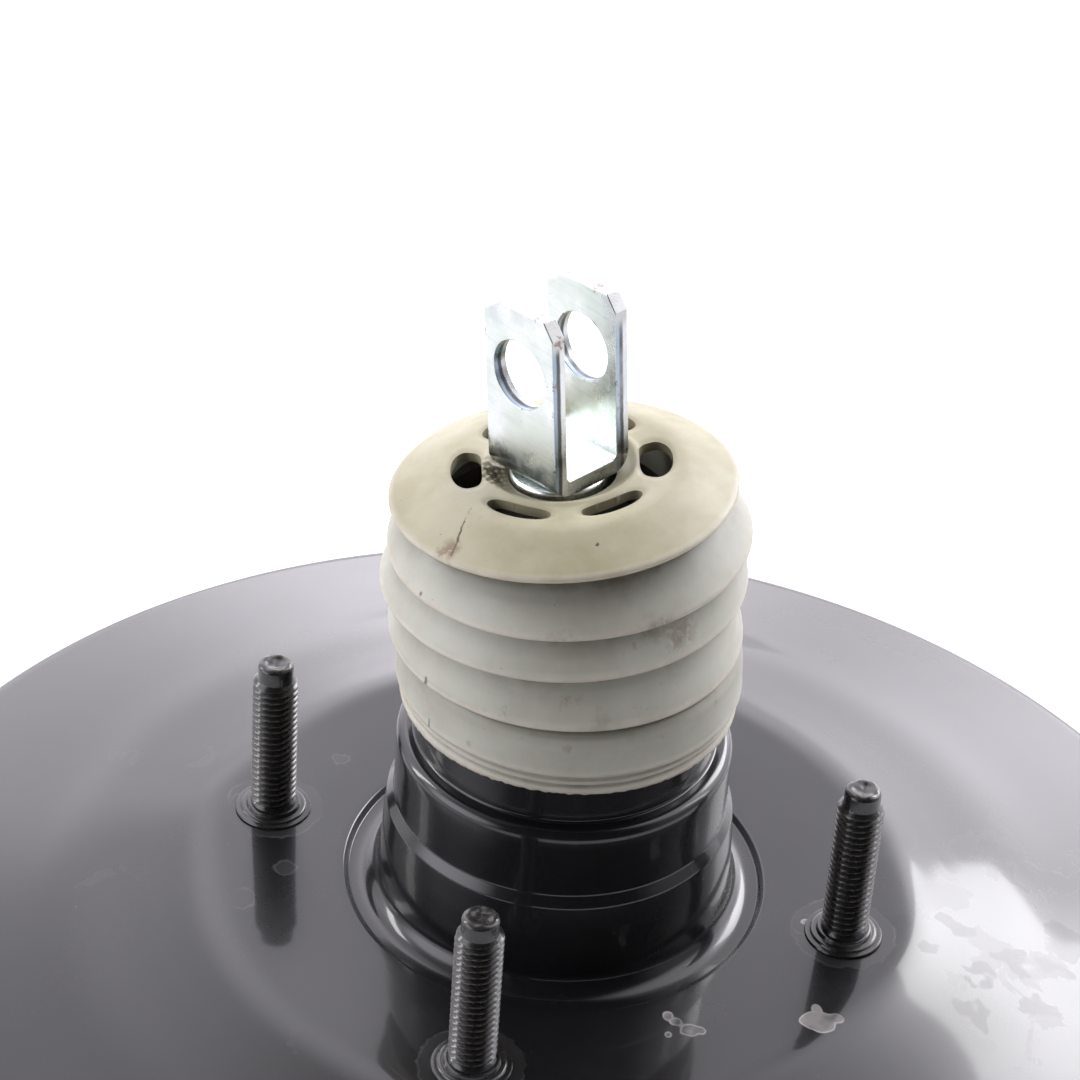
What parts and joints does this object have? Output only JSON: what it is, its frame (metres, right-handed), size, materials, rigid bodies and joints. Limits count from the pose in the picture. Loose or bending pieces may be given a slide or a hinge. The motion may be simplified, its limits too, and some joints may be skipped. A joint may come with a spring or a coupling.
{
  "type": "vacuum brake booster",
  "caption": "Single-diaphragm vacuum brake booster with firewall studs, pleated dust boot and clevis push rod on the pedal side, and master cylinder studs and check valve on the other.",
  "frame": {"origin": "booster axis in the plane of the firewall face, centre of the four firewall studs", "axes": "+Z along the booster's axis out of the firewall face, towards the pedal; X and Y along the sides of the stud square"},
  "size_m": [0.259, 0.259, 0.2466],
  "materials": {
    "shell_black": "gloss black paint on pressed steel",
    "stud_black": "black phosphate and paint on rolled thread",
    "zinc": "bright zinc plate",
    "boot_rubber": "matt beige-grey rubber, weathered",
    "black_rubber": "matt moulded rubber",
    "inner_steel": "plain pressed steel, light oil",
    "spring_steel": "drawn spring wire",
    "hub_plastic": "glass-filled phenolic",
    "valve_plastic": "black nylon",
    "white_plastic": "natural acetal",
    "foam": "open-cell foam"
  },
  "bodies": {
    "housing": {"rear_shell": "shell_black", "front_shell": "shell_black", "firewall_studs": "stud_black", "rear_reinforcement_plate": "inner_steel", "front_reinforcement_plate": "inner_steel", "master_cylinder_studs": "zinc", "neck_seal": "black_rubber", "neck_guide_bush": "white_plastic", "neck_seal_retainer": "inner_steel", "dust_boot": "boot_rubber", "front_seal": "black_rubber", "front_seal_retainer": "inner_steel", "check_valve_grommet": "black_rubber", "return_spring": "spring_steel", "diaphragm": "black_rubber"},
    "power_piston": {"valve_body": "hub_plastic", "diaphragm_plate": "inner_steel", "reaction_disc": "black_rubber", "output_rod": "zinc", "output_rod_adjuster": "zinc", "output_rod_retainer": "inner_steel", "stop_key": "zinc", "poppet_valve": "black_rubber", "poppet_retainer": "inner_steel", "poppet_spring": "spring_steel", "rod_return_spring": "spring_steel", "air_filter": "foam", "filter_cap": "valve_plastic"},
    "air_valve": {"plunger": "zinc"},
    "ball_liner": {"ball_socket": "white_plastic"},
    "spring_seat": {"rod_spring_seat": "inner_steel"},
    "input_rod": {"push_rod": "zinc", "clevis": "zinc"},
    "vacuum_valve": {"check_valve_base": "valve_plastic", "check_valve_cover": "valve_plastic", "check_valve_spring": "spring_steel"},
    "vacuum_poppet": {"check_valve_poppet": "black_rubber"}
  },
  "joints": [
    {"name": "power_stroke", "type": "slide", "parent": "housing", "child": "power_piston", "axis": [0, 0, -1], "range_m": [0, 0.02], "stiffness_N_per_m": 3000, "springref_m": -0.035, "deforming": ["dust_boot", "return_spring", "diaphragm"]},
    {"name": "valve_travel", "type": "slide", "parent": "power_piston", "child": "air_valve", "axis": [0, 0, -1], "range_m": [0, 0.0016], "stiffness_N_per_m": 9000, "springref_m": -0.003, "deforming": ["dust_boot", "rod_return_spring", "poppet_valve", "poppet_spring"]},
    {"name": "rod_swing", "type": "hinge", "parent": "air_valve", "child": "ball_liner", "pos_m": [0, 0, 0.03], "axis": [0.9254, 0.379, 0], "range_deg": [-2, 4], "stiffness_Nm_per_rad": 3, "deforming": ["dust_boot", "rod_return_spring"]},
    {"name": "rod_side_swing", "type": "hinge", "parent": "ball_liner", "child": "spring_seat", "pos_m": [0, 0, 0.03], "axis": [-0.379, 0.9254, 0], "range_deg": [-3, 3], "stiffness_Nm_per_rad": 3, "deforming": ["dust_boot", "rod_return_spring"]},
    {"name": "rod_turn", "type": "hinge", "parent": "spring_seat", "child": "input_rod", "pos_m": [0, 0, 0.03], "axis": [-0.0385, 0.094, 0.9948], "continuous": true, "deforming": ["dust_boot"]},
    {"name": "check_valve_swivel", "type": "hinge", "parent": "housing", "child": "vacuum_valve", "pos_m": [0, 0.082, -0.095], "axis": [0, 0, 1], "range_deg": [-110, 110]},
    {"name": "check_valve_lift", "type": "slide", "parent": "vacuum_valve", "child": "vacuum_poppet", "axis": [0, 0, -1], "range_m": [0, 0.0015], "stiffness_N_per_m": 150, "springref_m": -0.003, "deforming": ["check_valve_spring"]}
  ]
}
